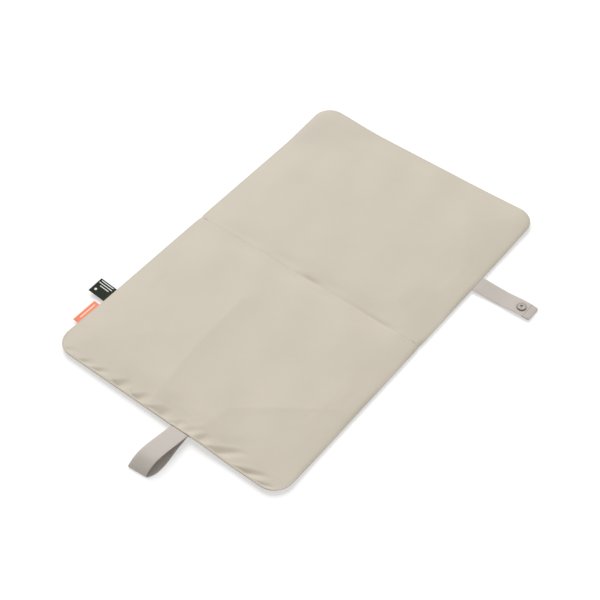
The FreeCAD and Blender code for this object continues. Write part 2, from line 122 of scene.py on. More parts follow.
# The centre fold: how deep its valley is, how wide, and how far it draws the edges in and down.
FOLD_TOP = 9.6
FOLD_CREASED = 6.4
FOLD_UNDER = 1.7
FOLD_SOFT_WIDTH = 6.0
FOLD_SHARP_WIDTH = 2.6
FOLD_UNDER_WIDTH = 4.0
FOLD_PINCH = 0.9
FOLD_PINCH_SPREAD = 6.0
FOLD_DROP = 0.6
FOLD_DROP_SPREAD = 9.0
FOLD_SHARP_SHARE = 0.55
FOLD_CREASES = ((10, 20, 0.55), (145, 38, 1.0))

# Where the pad leaves the floor or swells past its plain crown.
LEFT_CURL = 8.0
RIGHT_CURL = 2.0
CORNER_CURL_REACH = 130
ROOT_LIFT = 3.6
ROOT_LIFT_SHIFT = 36
ROOT_LIFT_SPREAD = 34
LOOP_ROOM = 20
LOOP_ROOM_FADE = 4
LOOP_MIDDLE = 39
LOOP_ROOM_UP = 0.8
LOOP_ROOM_DOWN = 1.2
NEAR_LIFT = 2.6
NEAR_LIFT_SPREAD = 55
# Two soft crests fan out from the carry loop's root: the places each passes, its height and its spread.
CRESTS = (
    (((-50, -100), (-45, -220), (-30, -340)), 1.5, 26),
    (((55, -345), (70, -275), (200, -175)), 0.8, 18),
)
UNDULATION = 0.22
UNDULATION_SEED = 11
UNDULATION_WAVES = 7
UNDULATION_LENGTHS = 70, 170
# The drag folds: where each furrow starts on the edge, how far it slants, how far in it reaches, the width of
# its falling side, and its depth.
PUCKERS = (
    (-205, 14, 12, 9, 1.2), (-165, 10, 12, 11, 1.9), (-139, 18, 14, 12, 2.1), (-92, 10, 20, 16, 2.8),
    (-95, -16, 7, 8, 1.4), (-52, 9, 18, 14, 3.0), (-56, -20, 7, 9, 1.5), (-5, 4, 17, 26, 3.4),
    (24, 9, 16, 10, 1.7), (46, 16, 22, 15, 1.8), (70, 6, 19, 13, 3.1), (103, 34, 29, 21, 3.5),
    (156, 32, 18, 19, 3.5), (188, 18, 9, 12, 2.1),
)
PUCKER_RISE = 17
PUCKER_RIDGE = 0.22
PUCKER_RIDGE_WIDTH = 4
PUCKER_INNER_WIDTH = 0.4
PUCKER_START = 1.0
PUCKER_FADE_IN = 3.5

CARRY_LOOP_X = joint_at("loop_swing")[0]
STUD = (span("snap_stud")[0] + span("snap_stud")[1]) / 2
STUD_TOP = span("snap_stud")[1][2]
STUD_CLEARANCE = 0.1
DIMPLE_REACH = 13
DIMPLE_SLOPE = 6
SOCKET = (span("snap_socket")[0] + span("snap_socket")[1]) / 2
# SNAP_RIM and SNAP_MOUTH bound the snap's painted shade: a dark band round its outer rim and a dark mouth.
SNAP_WALL = 0.3
SNAP_RIM = float(span("snap_socket")[1][0] - SOCKET[0] - SNAP_WALL) * MM
SNAP_MOUTH = 3.4 * MM


# ---------------------------------------------------------------- the pad's surface

def soft_step(t):
    """0 below 0, 1 above 1, and smooth between."""
    t = np.clip(t, 0, 1)
    return t * t * (3 - 2 * t)


def hump(distance, width):
    """A bell curve, 1 at no distance."""
    return np.exp(-(np.asarray(distance) / width) ** 2)


def inset(u, v):
    """How far in from the seam a flat position is."""
    return np.minimum(HALF_WIDTH - np.abs(u), HALF_LENGTH - np.abs(v))


def plan(u, v):
    """A flat position with the corners rounded and the edges drawn in at the fold."""
    straight_x, straight_y = HALF_WIDTH - CORNER_RADIUS, HALF_LENGTH - CORNER_RADIUS
    p, q = np.abs(u) - straight_x, np.abs(v) - straight_y
    in_corner = (p > 0) & (q > 0)
    reach = np.where(in_corner, np.maximum(p, q), 1)
    share = np.where(in_corner, np.minimum(p, q) / reach, 0) * math.pi / 4
    angle = np.where(p >= q, share, math.pi / 2 - share)
    x = np.where(in_corner, straight_x + reach * np.cos(angle), np.abs(u))
    y = np.where(in_corner, straight_y + reach * np.sin(angle), np.abs(v))
    x = x - FOLD_PINCH * hump(v, FOLD_PINCH_SPREAD) * (np.abs(u) / HALF_WIDTH) ** EDGE_POWER
    return np.sign(u) * x, np.sign(v) * y


def lift(x, y):
    """How far the whole pad stands off the floor: its two far corners curl up."""
    curl = np.where(x < 0, LEFT_CURL, RIGHT_CURL)
    away = np.hypot(np.abs(x) - HALF_WIDTH, y - HALF_LENGTH)
    return curl * soft_step(1 - away / CORNER_CURL_REACH)


def seam_height(x, y):
    """The seam's height: lower at the fold, higher along the near short edge and most at the loop's root."""
    edge = (np.abs(x) / HALF_WIDTH) ** EDGE_POWER
    drop = FOLD_DROP * hump(y, FOLD_DROP_SPREAD) * edge
    root = ROOT_LIFT * hump(x - CARRY_LOOP_X - ROOT_LIFT_SHIFT, ROOT_LIFT_SPREAD)
    return SEAM - drop + (NEAR_LIFT + root) * hump(y + HALF_LENGTH, NEAR_LIFT_SPREAD)


def lip(d, y):
    """How far the rolled edge stands off the seam, less the groove that the edge stitching pulls into it. The
    short edge with the carry loop stands up as a sharper ridge."""
    roll = np.sqrt(1 - (1 - np.minimum(d / LIP_ROLL, 1)) ** 2)
    ridge = NEAR_LIP * hump(d - RIDGE_PLACE, RIDGE_WIDTH) * hump(y + HALF_LENGTH, NEAR_EDGE_REACH)
    return (LIP_HEIGHT + ridge) * roll - GROOVE_DEPTH * hump(d - GROOVE, GROOVE_WIDTH)


def loop_room(x, y):
    """Where the two covers part at the seam to let the carry loop's webbing out."""
    room = soft_step((LOOP_ROOM - np.abs(x - LOOP_MIDDLE)) / LOOP_ROOM_FADE)
    return room * hump(y + HALF_LENGTH, NEAR_EDGE_REACH)


def line_distance(x, y, path):
    """The distance from a broken line."""
    best = np.full(np.shape(x), np.inf)
    for (ax, ay), (bx, by) in zip(path, path[1:]):
        dx, dy = bx - ax, by - ay
        t = np.clip(((x - ax) * dx + (y - ay) * dy) / (dx * dx + dy * dy), 0, 1)
        best = np.minimum(best, np.hypot(x - ax - t * dx, y - ay - t * dy))
    return best


def relief(x, y):
    """The soft crests and hollows of the wadding."""
    z = sum(height * np.exp(-line_distance(x, y, path) / spread) for path, height, spread in CRESTS)
    draw = np.random.default_rng(UNDULATION_SEED)
    for _ in range(UNDULATION_WAVES):
        turn = draw.uniform(0, math.tau)
        length = draw.uniform(*UNDULATION_LENGTHS)
        phase = draw.uniform(0, math.tau)
        wave = np.cos((x * math.cos(turn) + y * math.sin(turn)) * math.tau / length + phase)
        z = z + UNDULATION * wave
    return z


def puckers(x, y):
    """The drag folds along the short edge that holds the carry loop, as depths: each falls away from a
    slanting ridge to a furrow, then rises slowly to the next."""
    depth = np.zeros(np.shape(x))
    inward = np.maximum(y + HALF_LENGTH - GROOVE, 0)
    for foot, slant, reach, wide, deep in PUCKERS:
        left = np.clip(1 - inward / reach, 0, 1)
        fall = wide * (PUCKER_INNER_WIDTH + (1 - PUCKER_INNER_WIDTH) * left)
        past = x - foot - slant * inward / reach
        side = np.where(past < 0, np.clip(1 + past / fall, 0, 1), 1 - soft_step(past / PUCKER_RISE))
        ridge = np.exp(-np.abs(past + fall) / PUCKER_RIDGE_WIDTH)
        depth = depth + deep * (side - PUCKER_RIDGE * ridge) * left ** 0.8
    return depth


def fold_valley(x, y):
    """How much of the valley's depth there is at a point, and the height of its floor."""
    creased = sum(share * hump(x - middle, reach) for middle, reach, share in FOLD_CREASES)
    soft, sharp = hump(y, FOLD_SOFT_WIDTH), np.exp(-np.abs(y) / FOLD_SHARP_WIDTH)
    pointed = (1 - FOLD_SHARP_SHARE) * soft + FOLD_SHARP_SHARE * sharp
    share = soft * (1 - creased) + pointed * creased
    return share, FOLD_TOP + (FOLD_CREASED - FOLD_TOP) * creased


def top_height(u, v):
    """The top cover's height over a flat position."""
    x, y = plan(u, v)
    d = inset(u, v)
    swell = 1 - np.exp(-d / TOP_SWELL)
    crown = CROWN + relief(x, y) - SHOULDER * np.exp(-d / SHOULDER_SPREAD)
    z = (seam_height(x, y) + lip(d, y)) * (1 - swell) + crown * swell
    z = z - puckers(x, y) * soft_step((d - GROOVE + PUCKER_START) / PUCKER_FADE_IN)
    share, floor = fold_valley(x, y)
    floor = np.minimum(floor, z)
    return z + (floor - z) * share + lift(x, y) + LOOP_ROOM_UP * loop_room(x, y)


def stud_dimple(x, y):
    """How much the wadding gives way over the snap's stud."""
    away = np.hypot(x - STUD[0], y - STUD[1])
    return soft_step((DIMPLE_REACH - away) / DIMPLE_SLOPE)


def base_height(u, v):
    """The bottom cover's height over a flat position."""
    x, y = plan(u, v)
    d = inset(u, v)
    swell = 1 - np.exp(-np.maximum(d - GROOVE, 0) / BASE_SWELL)
    under = lip(d, y)
    z = (seam_height(x, y) - under) * (1 - swell) + FLOOR_GAP * swell
    z = np.maximum(z - LOOP_ROOM_DOWN * loop_room(x, y), FLOOR_GAP)
    z = z + np.maximum(FOLD_UNDER - z, 0) * hump(y, FOLD_UNDER_WIDTH)
    dimple = STUD_TOP + STUD_CLEARANCE
    return z + np.maximum(dimple - z, 0) * stud_dimple(x, y) + lift(x, y)


def surface_point(u, v, height):
    """Points of one of the two surfaces over flat positions."""
    u, v = np.broadcast_arrays(np.asarray(u, float), np.asarray(v, float))
    x, y = plan(u, v)
    return np.stack([x, y, height(u, v)], axis=-1)


# ---------------------------------------------------------------- meshes

def mesh_object(name, data, material, body=None, sharp=40):
    """A smooth-shaded object from points in millimetres, faces and a flat coordinate for each point."""
    points, faces, flat = data
    mesh = bpy.data.meshes.new(name)
    mesh.from_pydata((np.asarray(points) * MM).tolist(), [], faces)
    mesh.update()
    layer = mesh.uv_layers.new(name=UV_LAYER)
    corners = np.zeros(len(mesh.loops), np.int32)
    mesh.loops.foreach_get("vertex_index", corners)
    layer.data.foreach_set("uv", np.asarray(flat, np.float32)[corners].ravel())
    mesh.polygons.foreach_set("use_smooth", np.ones(len(mesh.polygons), bool))
    mesh.set_sharp_from_angle(angle=math.radians(sharp))
    mesh.materials.append(material)
    piece = bpy.data.objects.new(name, mesh)
    bpy.context.scene.collection.objects.link(piece)
    if body:
        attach(piece, body)
    return piece


def combine(parts):
    """Several pieces of mesh data as one."""
    points, faces, flat, start = [], [], [], 0
    for part_points, part_faces, part_flat in parts:
        points.append(part_points)
        flat.append(part_flat)
        faces += [[start + i for i in face] for face in part_faces]
        start += len(part_points)
    return np.concatenate(points), faces, np.concatenate(flat)


def grid_faces(rows, columns, flipped=False, cyclic=False):
    """Quads over a grid of points stored row by row."""
    faces = []
    for r in range(rows - 1):
        for c in range(columns if cyclic else columns - 1):
            a, b = r * columns + c, r * columns + (c + 1) % columns
            face = [a, b, b + columns, a + columns]
            faces.append(face[::-1] if flipped else face)
    return faces


def smooth_line(points, per_span):
    """A smooth line through points, with the same number of steps between each two."""
    p = np.asarray(points, float)
    p = np.concatenate([[2 * p[0] - p[1]], p, [2 * p[-1] - p[-2]]])
    t = np.linspace(0, 1, per_span, endpoint=False)[:, None]
    out = []
    for a, b, c, d in zip(p, p[1:], p[2:], p[3:]):
        out.append(b + 0.5 * t * (c - a + t * (2 * a - 5 * b + 4 * c - d + t * (3 * (b - c) + d - a))))
    return np.concatenate([*out, [p[-2]]])


def ribbon(lefts, rights, thickness, across=14, start=0.0):
    """A closed flat band between two rows of edge points, with rounded selvedges. start is the flat length at
    its first end, so that two bands can carry on one weave."""
    lefts, rights = np.asarray(lefts, float), np.asarray(rights, float)
    middle = (lefts + rights) / 2
    width = rights - lefts
    tangent = np.gradient(middle, axis=0)
    normal = np.cross(tangent, width)
    normal /= np.linalg.norm(normal, axis=1, keepdims=True)
    c = np.sin(np.linspace(-math.pi / 2, math.pi / 2, across + 1))
    h = thickness / 2 * np.sqrt(1 - np.abs(c) ** 9)
    share = np.concatenate([c, c[-2:0:-1]])
    height = np.concatenate([h, -h[-2:0:-1]])
    points = middle[:, None] + width[:, None] * share[None, :, None] / 2
    points = points + normal[:, None] * height[None, :, None]
    steps = np.linalg.norm(np.diff(middle, axis=0), axis=1)
    along = start + np.concatenate([[0], np.cumsum(steps)])
    wide = np.linalg.norm(width, axis=1)[:, None] * share[None] / 2
    flat = np.stack([wide, np.broadcast_to(along[:, None], wide.shape)], axis=-1)
    rows, columns = len(middle), len(share)
    faces = grid_faces(rows, columns, cyclic=True)
    faces.append(list(range(columns))[::-1])
    faces.append([(rows - 1) * columns + i for i in range(columns)])
    return points.reshape(-1, 3), faces, flat.reshape(-1, 2)


def close_normals(piece):
    """Turns a closed mesh's faces outward."""
    shape = bmesh.new()
    shape.from_mesh(piece.data)
    bmesh.ops.recalc_face_normals(shape, faces=shape.faces)
    shape.to_mesh(piece.data)
    shape.free()


# Along one stitch: how far, how thick, and how far it rises.
STITCH_STATIONS = (0, 0.45, -0.9), (0.14, 0.85, 0), (0.5, 1, 0.35), (0.86, 0.85, 0), (1, 0.45, -0.9)


def stitches(starts, ends, normals, radius, sides=6):
    """A row of thread stitches, each an arched spindle that dives into the cloth at both ends."""
    starts, ends, normals = (np.asarray(a, float) for a in (starts, ends, normals))
    along = ends - starts
    length = np.linalg.norm(along, axis=1, keepdims=True)
    forward = along / length
    side = np.cross(forward, normals)
    side /= np.linalg.norm(side, axis=1, keepdims=True)
    up = np.cross(side, forward)
    points, flat = [], []
    for t, girth, rise in STITCH_STATIONS:
        centre = starts + along * t + up * rise * radius
        for k in range(sides):
            angle = math.tau * k / sides
            points.append(centre + radius * girth * (side * math.cos(angle) + up * math.sin(angle)))
            around = np.broadcast_to([k / sides * radius * math.tau, 0], (len(starts), 2))
            flat.append(around + t * length * [0, 1])
    stations = len(STITCH_STATIONS)
    points = np.stack(points, axis=1).reshape(-1, 3)
    flat = np.stack(flat, axis=1).reshape(-1, 2)
    one = grid_faces(stations, sides, cyclic=True)
    one.append(list(range(sides))[::-1])
    one.append([(stations - 1) * sides + k for k in range(sides)])
    faces = [[n * stations * sides + i for i in face] for n in range(len(starts)) for face in one]
    return points, faces, flat


def stitch_row(path, normals, pitch, length, radius):
    """Stitches spaced evenly along a line of points."""
    steps = np.linalg.norm(np.diff(path, axis=0), axis=1)
    run = np.concatenate([[0], np.cumsum(steps)])
    count = int(run[-1] // pitch)
    first = np.arange(count) * run[-1] / count

    def at(distance, values):
        return np.stack([np.interp(distance, run, values[:, k]) for k in range(3)], axis=1)

    return stitches(at(first, path), at(first + length, path), at(first + length / 2, normals), radius)


# ---------------------------------------------------------------- materials

def linear(red, green, blue):
    """A display colour from 0 to 255 as a linear one."""
    def one(value):
        value /= 255
        return value / 12.92 if value <= 0.04045 else ((value + 0.055) / 1.055) ** 2.4
    return (one(red), one(green), one(blue), 1)


class Surface:
    """A node material, with short ways to add what every cloth here needs."""

    def __init__(self, name, roughness, sheen=0.0, metallic=0.0, specular=0.5):
        self.material = bpy.data.materials.new(name)
        self.material.use_nodes = True
        self.tree = self.material.node_tree
        self.shader = next(n for n in self.tree.nodes if n.type == "BSDF_PRINCIPLED")
        self.shader.inputs["Roughness"].default_value = roughness
        self.shader.inputs["Metallic"].default_value = metallic
        self.shader.inputs["Specular IOR Level"].default_value = specular
        self.shader.inputs["Sheen Weight"].default_value = sheen
        self.shader.inputs["Sheen Roughness"].default_value = 0.5

    def node(self, kind, **settings):
        made = self.tree.nodes.new(kind)
        for name, value in settings.items():
            setattr(made, name, value)
        return made

    def put(self, source, target):
        """Links a socket, or sets a number, as another socket's value."""
        if isinstance(source, (int, float, tuple)):
            target.default_value = source
        else:
            self.tree.links.new(source, target)

    def maths(self, operation, a, b=0.0):
        made = self.node("ShaderNodeMath", operation=operation)
        self.put(a, made.inputs[0])
        self.put(b, made.inputs[1])
        return made.outputs[0]

    def flat(self):
        """The cloth's own flat coordinates, in millimetres: together, across and along."""
        source = self.node("ShaderNodeUVMap", uv_map=UV_LAYER)
        parts = self.node("ShaderNodeSeparateXYZ")
        self.put(source.outputs[0], parts.inputs[0])
        return source.outputs[0], parts.outputs[0], parts.outputs[1]

    def place(self):
        """The place on the object, in metres, for a piece with no flat coordinates."""
        return self.node("ShaderNodeTexCoord").outputs["Object"]

    def wave(self, value, pitch):
        """A sine along a length, from 0 to 1."""
        sine = self.maths("SINE", self.maths("MULTIPLY", value, math.tau / pitch))
        return self.maths("MULTIPLY", self.maths("ADD", sine, 1.0), 0.5)

    def noise(self, where, scale, detail=2.0, roughness=0.5):
        made = self.node("ShaderNodeTexNoise")
        self.put(where, made.inputs["Vector"])
        made.inputs["Scale"].default_value = scale
        made.inputs["Detail"].default_value = detail
        made.inputs["Roughness"].default_value = roughness
        return made.outputs["Fac"]

    def between(self, amount, low, high, first, last):
        """Colours from first to last as amount goes from low to high."""
        ramp = self.node("ShaderNodeValToRGB")
        ramp.color_ramp.elements[0].position = low
        ramp.color_ramp.elements[1].position = high
        ramp.color_ramp.elements[0].color = first
        ramp.color_ramp.elements[1].color = last
        self.put(amount, ramp.inputs[0])
        return ramp.outputs[0]

    def mix(self, amount, first, last):
        made = self.node("ShaderNodeMix", data_type="RGBA", blend_type="MIX")
        self.put(amount, made.inputs[0])
        self.put(first, made.inputs[6])
        self.put(last, made.inputs[7])
        return made.outputs[2]

    def bump(self, height, distance, strength=1.0, under=None):
        made = self.node("ShaderNodeBump")
        made.inputs["Strength"].default_value = strength
        made.inputs["Distance"].default_value = distance * MM
        self.put(height, made.inputs["Height"])
        if under is not None:
            self.put(under, made.inputs["Normal"])
        return made.outputs[0]

    def range(self, amount, low, high):
        made = self.node("ShaderNodeMapRange")
        self.put(amount, made.inputs[0])
        made.inputs[3].default_value = low
        made.inputs[4].default_value = high
        return made.outputs[0]

    def finish(self, colour, normal, roughness=None):
        self.put(colour, self.shader.inputs["Base Color"])
        self.put(normal, self.shader.inputs["Normal"])
        if roughness is not None:
            self.put(roughness, self.shader.inputs["Roughness"])
        return self.material


def shade(colour, factor):
    """A colour made lighter or darker."""
    return tuple(min(1.0, part * factor) for part in colour[:3]) + (1,)


def plain_weave(surface, u, v, pitch):
    """The height of an over-and-under weave."""
    across = surface.maths("SINE", surface.maths("MULTIPLY", u, math.pi / pitch))
    along = surface.maths("SINE", surface.maths("MULTIPLY", v, math.pi / pitch))
    product = surface.maths("MULTIPLY", across, along)
    return surface.maths("ADD", surface.maths("MULTIPLY", product, 0.5), 0.5)


def coated_cloth(name, colour):
    """Wipeable coated polyester: a fine plain weave under a thin soft film."""
    s = Surface(name, 0.55, sheen=0.12, specular=0.38)
    where, u, v = s.flat()
    weave = plain_weave(s, u, v, 0.42)
    mottle = s.noise(where, 0.012, 3.0, 0.55)
    speck = s.noise(where, 1.9, 2.0, 0.6)
    base = s.between(mottle, 0.3, 0.7, shade(colour, 0.975), shade(colour, 1.025))
    tinted = s.mix(s.range(weave, 0.0, 0.22), base, shade(colour, 0.86))
    specked = s.mix(s.range(speck, 0.0, 0.12), tinted, shade(colour, 1.12))
    film = s.bump(s.noise(where, 0.11, 3.0, 0.5), 0.35, 0.35)
    normal = s.bump(weave, 0.05, 0.35, film)
    return s.finish(specked, normal, s.range(speck, 0.47, 0.62))


def webbing_cloth(name, colour):
    """Polyester webbing: fine ribs along its length, crossed by a diagonal twill."""
    s = Surface(name, 0.6, sheen=0.18, specular=0.35)
    where, u, v = s.flat()
    ribs = s.wave(u, 1.1)
    twill = s.wave(s.maths("ADD", u, v), 0.9)
    picks = s.wave(v, 0.55)
    height = s.maths("ADD", s.maths("MULTIPLY", ribs, 0.4), s.maths("MULTIPLY", twill, 0.6))
    height = s.maths("ADD", height, s.maths("MULTIPLY", picks, 0.25))
    mottle = s.noise(where, 0.06, 3.0, 0.6)
    base = s.between(mottle, 0.25, 0.75, shade(colour, 0.965), shade(colour, 1.035))
    woven = s.mix(s.range(height, 0.22, 0.0), base, shade(colour, 0.72))
    normal = s.bump(height, 0.12, 0.5)
    return s.finish(woven, normal, s.range(mottle, 0.55, 0.68))


def thread_material(name, colour):
    """Twisted polyester thread."""
    s = Surface(name, 0.45, sheen=0.1)
    u, v = s.flat()[1:]
    twist = s.wave(s.maths("ADD", u, s.maths("MULTIPLY", v, 0.8)), 0.32)
    base = s.mix(twist, shade(colour, 0.8), shade(colour, 1.08))
    return s.finish(base, s.bump(twist, 0.05, 0.5), s.range(twist, 0.38, 0.55))


def satin_label(name, colour):
    """A woven satin label: very fine ribs and a soft gloss."""
    s = Surface(name, 0.5, specular=0.05)
    where, u = s.flat()[:2]
    ribs = s.wave(u, 0.35)
    floats = s.noise(where, 1.4, 3.0, 0.6)
    base = s.between(floats, 0.2, 0.8, shade(colour, 0.85), shade(colour, 1.2))
    ribbed = s.mix(s.range(ribs, 0.0, 0.25), base, shade(colour, 1.25))
    return s.finish(ribbed, s.bump(ribs, 0.03, 0.4), s.range(floats, 0.36, 0.5))


def tag_cloth(name, colour):
    """A folded taffeta tag: a close weave with faint blotches."""
    s = Surface(name, 0.5, sheen=0.2, specular=0.4)
    where, u, v = s.flat()
    weave = plain_weave(s, u, v, 0.4)
    blotch = s.noise(where, 0.3, 2.0, 0.6)
    base = s.between(blotch, 0.25, 0.75, shade(colour, 0.94), shade(colour, 1.05))
    woven = s.mix(s.range(weave, 0.0, 0.25), base, shade(colour, 0.78))
    return s.finish(woven, s.bump(weave, 0.06, 0.4), s.range(blotch, 0.45, 0.58))


def print_ink(name, colour):
    """Raised screen print: flat and slightly rough."""
    s = Surface(name, 0.55)
    where = s.flat()[0]
    grain = s.noise(where, 3.0, 2.0, 0.6)
    base = s.between(grain, 0.3, 0.7, shade(colour, 0.9), shade(colour, 1.0))
    return s.finish(base, s.bump(grain, 0.02, 0.4), s.range(grain, 0.5, 0.65))


def fibre_fill(name, colour):
    """Bonded polyester wadding: loose fibre with a soft sheen."""
    s = Surface(name, 0.85, sheen=0.3)
    where = s.flat()[0]
    fibre = s.noise(where, 0.9, 5.0, 0.7)
    base = s.between(fibre, 0.3, 0.7, shade(colour, 0.88), colour)
    return s.finish(base, s.bump(fibre, 0.5, 0.6), s.range(fibre, 0.75, 0.9))


def painted_metal(name, colour, edge):
    """Satin stoved paint on a pressed snap, with painted shade round its outer rim and inside its mouth."""
    s = Surface(name, 0.34)
    where = s.place()
    parts = s.node("ShaderNodeSeparateXYZ")
    s.put(where, parts.inputs[0])
    dx = s.maths("SUBTRACT", parts.outputs[0], float(SOCKET[0]) * MM)
    dy = s.maths("SUBTRACT", parts.outputs[1], float(SOCKET[1]) * MM)
    radius = s.maths("SQRT", s.maths("ADD", s.maths("MULTIPLY", dx, dx), s.maths("MULTIPLY", dy, dy)))
    speck = s.noise(where, 900.0, 2.0, 0.5)
    base = s.between(speck, 0.3, 0.7, shade(colour, 0.95), shade(colour, 1.04))
    # Painted shade: the rim mask darkens a band round the snap's outer wall for its shadow gap, and the mouth
    # mask darkens the hole. edge is the colour of this painted shade.
    rim = s.between(radius, SNAP_RIM, SNAP_RIM + 0.3 * MM, (0, 0, 0, 1), (1, 1, 1, 1))
    mouth = s.between(radius, SNAP_MOUTH, SNAP_MOUTH + 0.4 * MM, (1, 1, 1, 1), (0, 0, 0, 1))
    dark = s.maths("MAXIMUM", rim, mouth)
    rim_and_mouth_shade = s.mix(dark, base, edge)
    return s.finish(rim_and_mouth_shade, s.bump(speck, 0.02, 0.3), s.range(speck, 0.28, 0.4))


def bare_metal(name, colour, roughness):
    """Nickel-plated brass or spring steel, with fine press marks."""
    s = Surface(name, roughness, metallic=1.0)
    where = s.place()
    marks = s.noise(where, 1400.0, 3.0, 0.6)
    base = s.between(marks, 0.3, 0.7, shade(colour, 0.88), shade(colour, 1.05))
    return s.finish(base, s.bump(marks, 0.01, 0.4), s.range(marks, roughness - 0.06, roughness + 0.1))


def floor_paint():
    """The pale studio floor."""
    s = Surface("studio_floor", 0.8, specular=0.15)
    where = s.place()
    grain = s.noise(where, 6.0, 2.0, 0.5)
    base = s.between(grain, 0.3, 0.7, linear(200, 200, 200), linear(202, 202, 202))
    s.shader.inputs["Emission Color"].default_value = (1, 1, 1, 1)
    s.shader.inputs["Emission Strength"].default_value = 0.43
    return s.finish(base, s.bump(grain, 0.05, 0.05))


PAD_COLOUR = linear(190, 181, 165)
WEBBING_COLOUR = linear(186, 178, 170)
COVER = coated_cloth("cover_coated_polyester", PAD_COLOUR)
BASE_COVER = coated_cloth("base_coated_polyester", shade(PAD_COLOUR, 0.97))
WEBBING = webbing_cloth("webbing_polyester", WEBBING_COLOUR)
THREAD = thread_material("thread_polyester", linear(192, 183, 167))
HEM_THREAD = thread_material("hem_thread_polyester", linear(112, 94, 78))
LABEL = satin_label("care_label_satin", linear(35, 42, 30))
TAG = tag_cloth("side_tag_taffeta", linear(234, 124, 84))
INK = print_ink("label_print", linear(232, 234, 228))
TAG_INK = print_ink("tag_print", linear(250, 216, 188))
FILL = fibre_fill("wadding_polyester", linear(238, 236, 230))
# The snap's paint, and the darker colour painted on it as shade round its rim and inside its mouth.
SNAP_PAINT = painted_metal("snap_paint", linear(170, 160, 149), linear(96, 80, 66))
STEEL = bare_metal("snap_steel", linear(178, 172, 164), 0.32)


# ---------------------------------------------------------------- the pad

EDGE_STOPS = np.array([0, 0.2, 0.5, 0.85, 1.3, 1.8, 2.3, 2.8, 3.3, 3.9, 4.8, 6, 7.8, 10, 13, 16.5])
FOLD_STOPS = np.array([0, 0.8, 1.8, 3, 4.4, 6.2, 8.4, 11, 14])
TOP_CELL = 2.6
BASE_CELL = 4.5
DENSE_REACH = 15
DENSE_CELL = 1.3


def even_stops(start, stop, cell, dense_at=None):
    """Grid lines between two places, both left out, closer together around dense_at."""
    stops = np.linspace(start, stop, int(round((stop - start) / cell)) + 1)[1:-1]
    if dense_at is None or not start < dense_at < stop:
        return stops
    away = np.abs(stops - dense_at) > DENSE_REACH
    dense = np.arange(dense_at - DENSE_REACH, dense_at + DENSE_REACH, DENSE_CELL)
    return np.sort(np.concatenate([stops[away], dense]))


def pad_grid(cell, edge_from=0.0, dense_at=(None, None)):
    """Flat positions on a grid that is close at the edges and along the fold, as two arrays."""
    edge = edge_from + EDGE_STOPS
    side, end = HALF_WIDTH - edge[::-1], HALF_LENGTH - edge[::-1]
    across = even_stops(-side[0], side[0], cell, dense_at[0])
    u = np.concatenate([-side[::-1], across, side])
    near = even_stops(-end[0], -FOLD_STOPS[-1], cell, dense_at[1])
    far = even_stops(FOLD_STOPS[-1], end[0], cell, dense_at[1])
    v = np.concatenate([-end[::-1], near, -FOLD_STOPS[:0:-1], FOLD_STOPS, far, end])
    return np.meshgrid(u, v)


def over_fold(piece):
    """Bakes a piece's transform into its mesh."""
    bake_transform(piece)


SWELL_CELL = 11.0
SWELL_HELD = 14.0
SWELL_FRAMES = 20
SWELL_LEAST, SWELL_MOST = -0.3, 1.2


def wadding_swell(u, v):
    """How far the wadding pushes the top cover up over a grid of flat positions: a coarse cloth that is held
    at its edges and at the fold, and blown up from below with no gravity."""
    across = np.linspace(-HALF_WIDTH, HALF_WIDTH, int(2 * HALF_WIDTH / SWELL_CELL))
    along = np.linspace(-HALF_LENGTH, HALF_LENGTH, int(2 * HALF_LENGTH / SWELL_CELL))
    cu, cv = np.meshgrid(across, along)
    rest = surface_point(cu, cv, top_height)
    data = rest.reshape(-1, 3), grid_faces(*cu.shape), rest[..., :2].reshape(-1, 2)
    trial = mesh_object("swell_trial", data, COVER)
    held = (inset(cu, cv) < SWELL_HELD) | (np.abs(cv) < SWELL_HELD)
    trial.vertex_groups.new(name="held").add(np.flatnonzero(held.ravel()).tolist(), 1.0, "ADD")
    cloth = trial.modifiers.new("swell", "CLOTH")
    cloth.settings.vertex_group_mass = "held"
    cloth.settings.quality = 8
    cloth.settings.mass = 0.3
    cloth.settings.tension_stiffness = 20
    cloth.settings.compression_stiffness = 20
    cloth.settings.bending_stiffness = 2
    cloth.settings.use_pressure = True
    cloth.settings.uniform_pressure_force = 1.2
    cloth.settings.effector_weights.gravity = 0
    cloth.collision_settings.use_collision = False
    cloth.point_cache.frame_start = 1
    cloth.point_cache.frame_end = SWELL_FRAMES
    scene = bpy.context.scene
    for number in range(1, SWELL_FRAMES + 1):
        scene.frame_set(number)
    blown = trial.evaluated_get(bpy.context.evaluated_depsgraph_get()).to_mesh()
    places = np.zeros(len(blown.vertices) * 3)
    blown.vertices.foreach_get("co", places)
    scene.frame_set(1)
    bpy.data.objects.remove(trial)
    moved = places.reshape(*cu.shape, 3)[..., 2] / MM - rest[..., 2]
    moved = np.clip(moved, SWELL_LEAST, SWELL_MOST)
    rows = np.array([np.interp(u[0], across, row) for row in moved])
    return np.array([np.interp(v[:, 0], along, column) for column in rows.T]).T


def add_cover(name, height, material, cell, flipped, dense_at=(None, None)):
    """One cover of the pad, a shell as thick as its cloth."""
    u, v = pad_grid(cell, dense_at=dense_at)
    points = surface_point(u, v, height)
    if height is top_height:
        points[..., 2] += wadding_swell(u, v)
    data = points.reshape(-1, 3), grid_faces(*u.shape, flipped), points[..., :2].reshape(-1, 2)
    cover = mesh_object(name, data, material, sharp=80)
    shell = cover.modifiers.new("cloth_thickness", "SOLIDIFY")
    shell.thickness = COVER_THICKNESS * MM
    shell.offset = -1
    over_fold(cover)
    return cover


WADDING_INSET = 5.0
WADDING_CELL = 9.0
WADDING_GAP = 0.9
PUCKER_GAP = 3.6
PUCKER_GAP_SPREAD = 24
WADDING_DIMPLE = 0.6
WADDING_ROUNDING = 4


